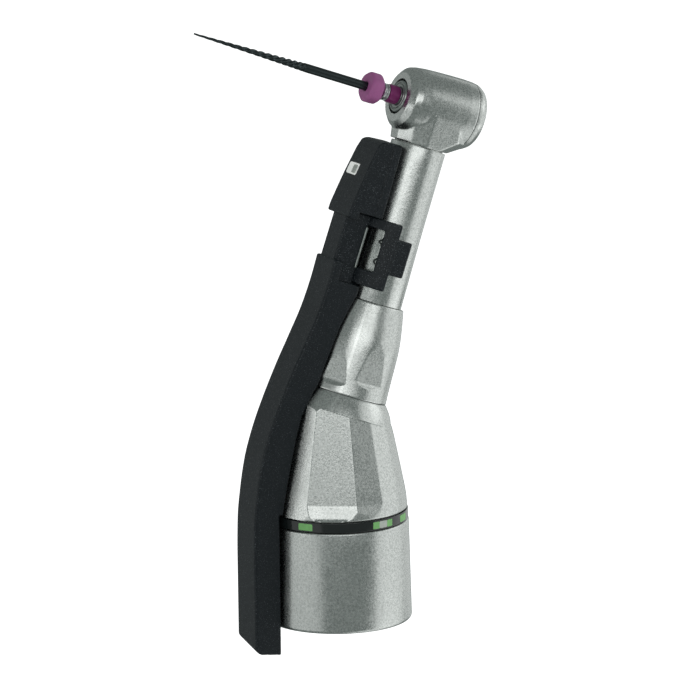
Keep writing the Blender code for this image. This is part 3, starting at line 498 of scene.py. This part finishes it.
def head_field(x, y, z):
    rho = np.hypot(x, y)
    barrel = rho - np.interp(z, (-5.6, -4.9, -3.6, -1.5, 0.9, 2.4, 3.6, 4.6),
                             (4.58, 4.66, 4.71, 4.68, 4.60, 4.52, 4.38, 4.12))
    chamfer = (rho - 4.06) * 0.66 + (z - 4.52) * 0.75
    drum = smax(smax(smax(barrel, chamfer, 0.10), z - 5.15, 0.12), HEAD_BACK - z, 0.06)
    above = x + 5.5
    collar = None
    for middle, base, slope, rise in COLLAR:
        for side in ((1, -1) if 0 < middle < 180 else (1,)):
            turn = math.radians(middle) * side
            plane = z * math.cos(turn) + y * math.sin(turn) - base - slope * np.clip(above, 0, rise)
            plane = plane / math.hypot(1, slope)
            collar = plane if collar is None else smax(collar, plane, 0.08)
    collar = smax(collar, -above, 0.1)
    collar = smax(collar, x + 0.9, 0.3)
    collar = smax(collar, HEAD_BACK - z, 0.06)
    body = smin(drum, collar, 0.12)
    hollow = np.maximum(rho - np.where(z < 3.65, 3.93, 2.42), -8 - z)
    tunnel = np.maximum(np.hypot(y, z) - 2.45, x)
    return np.maximum(np.maximum(body, -hollow), -tunnel)


def head_pieces():
    carved("head_casing", head_field, (-5.7, -5.2, -5.8), (5.1, 5.2, 5.4), 0.13, HEAD, "handpiece", "satin_nickel",
           ["head_housing"], sharp=50)
    turned("bezel_ring", [
        (3.4, -4.3), (3.87, -4.3), (3.87, -5.02), (4.63, -5.02, 0.03), (4.56, -5.62, 0.2), (4.12, -6.36, 0.2),
        (3.6, -6.6, 0.2), (3.1, -6.58, 0.12), (3.05, -6.3), (3.4, -6.3)], HEAD, "handpiece", "satin_nickel",
        ["button_bezel"], 160)
    turned("button_cap", [
        (0, -6.95), (1.6, -6.9, 0.6), (2.6, -6.76, 0.4), (2.93, -6.55, 0.1), (2.95, -6.3), (3.3, -6.22), (3.3, -6.0),
        (0, -6.0)], HEAD, "push_button", "satin_nickel", ["push_button"], 128)
    turned("chuck_nose", [
        (1.24, 5.22), (1.42, 5.28, 0.05), (1.62, 5.28, 0.05), (1.70, 5.12, 0.05), (1.80, 5.12, 0.05), (1.88, 5.28, 0.05),
        (2.05, 5.26, 0.1), (2.2, 5.08, 0.1), (2.2, 4.45), (1.7, 4.45), (1.7, -4.5), (1.24, -4.5)][::-1],
        HEAD, "chuck", "hardened_steel", ["chuck_spindle"], 96, 0.03, material=NOSE_STEEL)


# ---------------------------------------------------------------- file
def file_pieces():
    turned("shank", [
        (0, -5.05), (1.0, -5.05), (1.175, -4.9), (1.175, -4.1), (0.9, -4.0), (0.9, -3.6), (1.175, -3.5), (1.175, 5.3),
        (0.95, 5.35), (0.95, 6.95), (1.14, 7.0), (1.17, 7.2), (1.00, 7.28), (1.00, 7.42), (1.17, 7.5), (1.17, 7.74),
        (0.85, 8.0), (0, 8.0)], HEAD, "file", "hardened_steel", ["file_shank"], 96, 0.04)
    turned("colour_band", [
        (0.99, 5.4), (1.22, 5.4, 0.1), (1.26, 5.6, 0.1), (1.26, 6.75, 0.1), (1.2, 6.92, 0.1), (0.99, 6.92)],
        HEAD, "file", "purple_anodised", ["file_band"], 96, 0.05)
    blade()
    stopper()


def blade():
    """Round below the flutes, then a twisted, tapering section of three lobes with a blunt tip."""
    columns, smooth_end, tip = 48, 19.5, 36.40
    level = np.concatenate([np.linspace(6.2, smooth_end, 20), np.linspace(smooth_end, tip, 320)[1:]])
    share = np.clip((level - smooth_end) / (tip - smooth_end), 0, 1)
    radius = 0.60 * (1 - share) + 0.13 * share
    depth = 0.30 * np.clip(share * 9, 0, 1)
    twist = -2 * math.pi * 5.2 * share ** 0.8
    angle = np.arange(columns) * 2 * math.pi / columns
    lobes = 1 - depth[:, None] * (0.5 + 0.5 * np.cos(3 * angle)[None, :]) ** 1.4
    reach = radius[:, None] * lobes
    turn = angle[None, :] + twist[:, None]
    rows = np.stack([reach * np.cos(turn), reach * np.sin(turn), np.repeat(level[:, None], columns, 1)], -1)
    verts, faces = ring_rows(rows, False)
    verts = np.vstack([verts, [[0, 0, 6.2], [0, 0, tip + 0.06]]])
    last = (len(level) - 1) * columns
    faces += [(len(verts) - 2, (i + 1) % columns, i) for i in range(columns)]
    faces += [(len(verts) - 1, last + i, last + (i + 1) % columns) for i in range(columns)]
    show("blade", verts, faces, HEAD, "file", "dark_alloy", ["file_blade"], sharp=60)


def stopper():
    """A soft disc, a little lobed and out of true, with a direction notch in its rim."""
    def field(x, y, z):
        rho, turn = np.hypot(x, y), np.arctan2(y, x)
        rim = 2.10 + 0.045 * np.cos(6 * turn + 0.4) - 0.05 * np.cos(2 * turn)
        disc = smax(rho - rim, np.abs(z - 9.26) - 0.98, 0.55)
        notch = 0.34 - np.hypot(x + 2.3, y)
        return smax(smax(disc, notch, 0.15), 0.66 - rho, 0.1)

    carved("stop_disc", field, (-2.4, -2.4, 8.0), (2.4, 2.4, 10.5), 0.08, HEAD, "stopper", "pink_silicone",
           ["file_stopper"], sharp=70)


# ---------------------------------------------------------------- electrode rail
RAIL_HALF, ARM_HALF = 3.0, 2.2
WIRE_R, CLIP_MIDDLE_R = 0.12, 4.75


def neck_world(reach, along):
    """World (x, z) of a point out from the neck axis on the file's side."""
    return (along * math.sin(BEND) - reach * math.cos(BEND),
            ELBOW_Z + along * math.cos(BEND) + reach * math.sin(BEND))


def rail_outer_line():
    upper = [neck_world(r, a) for r, a in ((8.5, 20.6), (8.4, 17.0), (8.55, 13.0), (9.05, 9.0), (9.65, 4.5))]
    lower = [(-9.95, 29.9), (-11.3, 26.4), (-12.35, 22.8), (-13.05, 18.8), (-13.5, 14.6), (-13.6, 10.0), (-13.6, 4.0),
             (-13.6, -3.2)]
    points = np.array((upper + lower)[::-1])
    level = np.linspace(points[0, 1], points[-1, 1], 160)
    return smooth_line(level, points[:, 1], points[:, 0]), level


def body_field(x, y, z):
    """How far a world point stands off the handle, elbow, grip and neck."""
    rho = np.hypot(x, y)
    handle = np.maximum(rho - 10.0, z - 15.4)
    cone = rho - np.interp(z, (15.0, 17.0, 20.0, 23.0, 26.0, 29.0, 33.0), (9.6, 9.3, 8.75, 8.15, 7.5, 6.7, 4.6))
    nx = x * math.cos(BEND) - (z - ELBOW_Z) * math.sin(BEND)
    nz = x * math.sin(BEND) + (z - ELBOW_Z) * math.cos(BEND)
    tube = np.hypot(nx, y) - np.interp(nz, (2.5, 3.5, 8.0, 12.2, 14.0, 16.3, 16.7, 38.0),
                                       (6.3, 5.95, 5.7, 5.36, 5.05, 4.6, 4.15, 3.8))
    tube = np.maximum(tube, 1.5 - nz)
    cone = np.maximum(cone, nz - 3.6)
    return np.minimum(np.minimum(handle, cone), tube)


def rail_field(x, y, z):
    line_x, line_z = rail_outer_line()
    run = np.interp(z, line_z, line_x)
    tilt = np.interp(z, line_z, np.cos(np.arctan(np.gradient(line_x, line_z))))
    out = (run - x) * tilt
    nx = x * math.cos(BEND) - (z - ELBOW_Z) * math.sin(BEND)
    nz = x * math.sin(BEND) + (z - ELBOW_Z) * math.cos(BEND)
    rail = smax(out, np.abs(y) - RAIL_HALF, 0.35)
    rail = smax(rail, -out - 4.6, 0.3)
    rail = smax(rail, nz - 20.5, 0.3)
    under = -3.26 - z + 0.18 * (y + 3) - 0.12 * (x + 13)
    rail = smax(rail, smax(under, (-12.9 - x) * 0.6 + under * 0.8, 0.2), 0.3)
    arm = box_field(nx, y, nz, (-8.3, -ARM_HALF, 18.5), (-4.0, ARM_HALF, 27.4), 0.3)
    whole = smin(rail, arm, 0.1)
    whole = smax(whole, 0.3 - body_field(x, y, z), 0.15)
    whole = np.maximum(whole, -clip_room(nx, y, nz))
    socket = np.maximum(np.maximum(np.abs(x + 12.0) - 1.1, np.abs(y) - 1.9), z - 3.2)
    return np.maximum(whole, -socket)


def clip_room(x, y, z):
    """The space left round the clip: its seat, and a way past each side of the arm."""
    seat = np.maximum(np.abs(z - 22.75) - 4.64, np.hypot(x, y) - 5.31)
    sides = np.maximum(np.maximum(np.abs(z - 22.66) - 4.74, ARM_HALF - np.abs(y)), np.abs(x + 2.2) - 5.0)
    return np.minimum(seat, sides)


def cap_field(x, y, z):
    outer = np.interp(z, (26.4, 27.6, 32.0, 35.6, 36.8, 37.4), (8.68, 8.64, 8.04, 7.42, 7.08, 6.6))
    half = np.interp(z, (26.4, 30.0, 35.6, 37.4), (3.5, 3.46, 3.24, 3.08))
    cap = smax(-x - outer, np.abs(y) - half, 0.45)
    cap = smax(cap, z - 37.36 - 0.06 * (x + 6), 0.5)
    cap = smax(cap, 26.45 - z, 0.25)
    cap = smax(cap, x + 3.75, 0.2)
    cap = smax(cap, np.minimum(np.abs(y) - half + 0.14, -4.95 - x), 0.05)
    tube = np.hypot(x, y) - np.interp(z, (16, 38), (4.45, 4.1))
    cap = smax(cap, -tube, 0.12)
    seat = clip_room(x, y, z)
    arm = np.maximum(np.maximum(-8.34 - x, np.abs(y) - 2.24), z - 27.45)
    pit = smax(smax(np.abs(y - 1.10) - 1.43, np.abs(z - 32.75) - 0.83, 0.3), x + 7.0, 0.05)
    return np.maximum(np.maximum(np.maximum(cap, -seat), -arm), -pit)


def clip_field(x, y, z):
    rho = np.hypot(x, y)
    turn = np.degrees(np.arctan2(np.abs(y), -x))
    arc = (turn - 76) * math.radians(1) * 4.8
    wrap = smax(np.abs(rho - 4.745) - 0.505, np.abs(z - 22.75) - 4.6, 0.22)
    wrap = smax(wrap, arc, 0.25)
    pane = np.abs(turn - 33.0) * math.radians(1) * 4.8 - 1.6
    window = smax(pane, np.abs(z - 23.15) - 2.85, 0.25)
    wrap = smax(wrap, -window, 0.2)
    lip = box_field(x, np.abs(y), z, (-1.6, 4.42, 20.5), (0.85, 5.08, 25.4), 0.25)
    return smin(wrap, lip, 0.15)


def rail_pieces():
    carved("rail_shell", rail_field, (-14.0, -3.3, -3.7), (5.0, 3.3, 56.6), 0.16, BASE, "electrode_rail",
           "black_plastic", ["rail_body"], sharp=60)
    carved("cap_shell", cap_field, (-8.9, -3.8, 26.2), (-2.4, 3.8, 37.6), 0.11, NECK, "electrode_rail",
           "black_plastic", ["rail_cap"], sharp=60)
    spring_wire()
    highlight_strip()
    lens()
    carved("snap_clip", clip_field, (-5.5, -5.4, 17.9), (1.2, 5.4, 27.8), 0.10, NECK, "electrode_rail",
           "black_plastic", ["tube_clip"], sharp=60)


def spring_wire():
    """A fine wire let into the clip's near window, with two bows in it."""
    columns = 14
    level = np.linspace(20.45, 25.85, 220)
    share = (level - level[0]) / (level[-1] - level[0])
    bow = sum(6.0 * np.exp(-((share - at) / 0.06) ** 2) for at in (0.24, 0.74))
    bow += 0.9 * np.sin(share * 70) * np.exp(-((share - 0.5) / 0.35) ** 2)
    angle = np.radians(180 + 53.0 - bow)
    centre = np.stack([CLIP_MIDDLE_R * np.cos(angle), CLIP_MIDDLE_R * np.sin(angle), level], -1)
    run = np.gradient(centre, axis=0)
    run /= np.linalg.norm(run, axis=1)[:, None]
    out = np.stack([np.cos(angle), np.sin(angle), 0 * angle], -1)
    across = np.cross(run, out)
    turn = np.arange(columns) * 2 * math.pi / columns
    cosine, sine = np.cos(turn)[None, :, None], np.sin(turn)[None, :, None]
    rows = centre[:, None] + WIRE_R * (cosine * out[:, None] + sine * across[:, None])
    verts, faces = ring_rows(rows, False)
    verts = np.vstack([verts, [centre[0], centre[-1]]])
    last = (len(level) - 1) * columns
    faces += [(len(verts) - 2, (i + 1) % columns, i) for i in range(columns)]
    faces += [(len(verts) - 1, last + i, last + (i + 1) % columns) for i in range(columns)]
    show("spring_wire", verts, faces, NECK, "electrode_rail", "bearing_bronze", ["contact_spring"], DARK_SPRING)


def highlight_strip():
    """A bright ridge along the arm's near corner, behind the clip's window, standing in for a highlight line: a
    painted highlight made as a part.
    """
    def bead(x, y, z):
        return np.hypot(np.hypot(x + 4.98, y + 2.24), np.maximum(0, np.abs(z - 22.95) - 2.7)) - 0.17

    carved("highlight_strip", bead, (-5.3, -2.6, 19.9), (-4.6, -1.9, 26.0), 0.06, NECK, "electrode_rail", "satin_nickel",
           material=NOSE_STEEL)


def lens():
    """The signal lamp: a pale window with rounded corners, and a grey lens in a light rim beside it. The pale window
    carries a faint painted glow, brighter than the lights make it.
    """
    middle = 32.75

    def window(y, z, at_y, half_y, half_z, corner):
        across, up = np.abs(y - at_y) - half_y + corner, np.abs(z - middle) - half_z + corner
        return np.hypot(np.maximum(across, 0), np.maximum(up, 0)) + np.minimum(np.maximum(across, up), 0) - corner

    def front(z, proud):
        return -np.interp(z, (30.0, 34.5), (8.36, 7.66)) - proud

    def plate(x, y, z):
        shape = smax(window(y, z, 1.10, 1.40, 0.80, 0.3), -window(y, z, 0.50, 0.68, 0.60, 0.24), 0.06)
        return smax(smax(shape, front(z, 0.06) - x, 0.08), x + 7.0, 0.05)

    def core(x, y, z):
        dome = front(z, 0.15) - x + 0.10 * ((y - 0.50) ** 2 + (z - middle) ** 2)
        return smax(smax(window(y, z, 0.50, 0.66, 0.58, 0.22), dome, 0.06), x + 7.0, 0.05)

    carved("lamp_window", plate, (-8.6, -1.0, 31.7), (-6.9, 2.7, 33.8), 0.05, NECK, "electrode_rail", "white_enamel",
           ["signal_lens"], material=RIM_PAINTED_GLOW, sharp=60)
    carved("lamp_lens", core, (-8.6, -0.8, 32.0), (-6.9, 0.9, 33.5), 0.05, NECK, "electrode_rail", "white_enamel",
           material=LENS_CORE, sharp=60)


# ---------------------------------------------------------------- carried-over CAD nodes
def finish_cad_nodes():
    slots = {part["node"]: part["material_slot"] for part in frame["record"]["subparts"]}
    for name, node in frame["nodes"].items():
        node.data.materials.clear()
        node.data.materials.append(LOOKS[slots[name]])


# ---------------------------------------------------------------- studio
TARGET = Vector((0, 0, 40 * MM))
AZIMUTH, ELEVATION, ROLL, DISTANCE = math.radians(-24.85), math.radians(11.51), math.radians(-0.65), 0.637
LENS_MM = 254.2


def camera():
    back = Vector((math.sin(AZIMUTH) * math.cos(ELEVATION), -math.cos(AZIMUTH) * math.cos(ELEVATION),
                   math.sin(ELEVATION)))
    right = Vector((math.cos(AZIMUTH), math.sin(AZIMUTH), 0))
    up = back.cross(right)
    turned_right = right * math.cos(ROLL) + up * math.sin(ROLL)
    turned_up = back.cross(turned_right)
    data = bpy.data.cameras.new("camera")
    data.lens, data.sensor_width = LENS_MM, 36
    data.clip_start, data.clip_end = 0.05, 20
    made = bpy.data.objects.new("camera", data)
    bpy.context.scene.collection.objects.link(made)
    offset = turned_right * 0.19 * MM - turned_up * 1.31 * MM
    place = TARGET + offset + back * DISTANCE
    made.matrix_world = Matrix.Translation(place) @ Matrix((turned_right, turned_up, back)).transposed().to_4x4()
    bpy.context.scene.camera = made
    return back, right


def softbox(name, direction, distance, width, height, radiance, colour=(1, 1, 1)):
    data = bpy.data.lights.new(name, "AREA")
    data.shape = "RECTANGLE"
    data.size, data.size_y = width, height
    data.energy = radiance * width * height * math.pi
    data.color = colour
    made = bpy.data.objects.new(name, data)
    bpy.context.scene.collection.objects.link(made)
    made.location = TARGET + direction.normalized() * distance
    made.rotation_euler = direction.to_track_quat("Z", "Y").to_euler()
    made.visible_camera = False
    return made


def studio():
    back, right = camera()
    level = Vector((back.x, back.y, 0)).normalized()

    def towards(angle, lift):
        turn = math.radians(angle)
        return level * math.cos(turn) + right * math.sin(turn) + Vector((0, 0, lift))

    softbox("softbox_front", towards(7, 0.35), 0.55, 0.62, 0.25, 1.25)
    softbox("softbox_left", towards(-58, -0.26), 0.5, 0.60, 0.40, 0.36)
    softbox("softbox_left_high", towards(-68, 0.13), 0.5, 0.42, 0.11, 0.95)
    softbox("softbox_right", towards(93, 0.02), 0.5, 0.60, 0.70, 0.62)
    softbox("softbox_right_high", towards(106, 0.28), 0.55, 0.32, 0.16, 0.55)
    softbox("softbox_back", towards(144, 0.10), 0.6, 0.42, 0.6, 0.46)
    softbox("softbox_side", towards(-122, 0.10), 0.6, 0.40, 0.6, 0.16)
    softbox("softbox_low", towards(80, -1.2), 0.5, 0.5, 0.5, 0.55)
    world = bpy.data.worlds.new("studio")
    bpy.context.scene.world = world
    world.use_nodes = True
    world.node_tree.nodes["Background"].inputs["Color"].default_value = (0.90, 1.0, 0.97, 1)
    world.node_tree.nodes["Background"].inputs["Strength"].default_value = 0.235
    floor()
    bpy.context.scene.view_settings.view_transform = "Standard"


def floor():
    """A pale sweep: a floor that curves up behind into a wall, wide enough for every view."""
    rings = [(0.0, 0.0), (0.5, 0.0), (1.0, 0.0), (1.4, 0.02), (1.7, 0.12), (1.9, 0.35), (2.0, 0.8), (2.0, 3.0)]
    steps = 64
    verts = [(0, 0, 0)]
    faces = []
    for reach, rise in rings[1:]:
        verts += [(reach * math.cos(2 * math.pi * i / steps), reach * math.sin(2 * math.pi * i / steps), rise)
                  for i in range(steps)]
    faces += [(0, 1 + i, 1 + (i + 1) % steps) for i in range(steps)]
    for ring in range(len(rings) - 2):
        first, second = 1 + ring * steps, 1 + (ring + 1) * steps
        faces += [(first + i, second + i, second + (i + 1) % steps, first + (i + 1) % steps) for i in range(steps)]
    mesh = bpy.data.meshes.new("floor")
    mesh.from_pydata([(x, y, z - 0.06) for x, y, z in verts], [], faces)
    mesh.shade_smooth()
    made = bpy.data.objects.new("floor", mesh)
    bpy.context.scene.collection.objects.link(made)
    material, tree, shader = principled("pale_floor", (0.9, 0.9, 0.9), 0.8)
    shader.inputs["Emission Color"].default_value = (1, 1, 1, 1)
    shader.inputs["Emission Strength"].default_value = 1.0
    mesh.materials.append(material)
    made.visible_glossy = False
    made.visible_diffuse = False


rear_pieces()
elbow_pieces()
grip_pieces()
head_pieces()
file_pieces()
rail_pieces()
finish_cad_nodes()
studio()
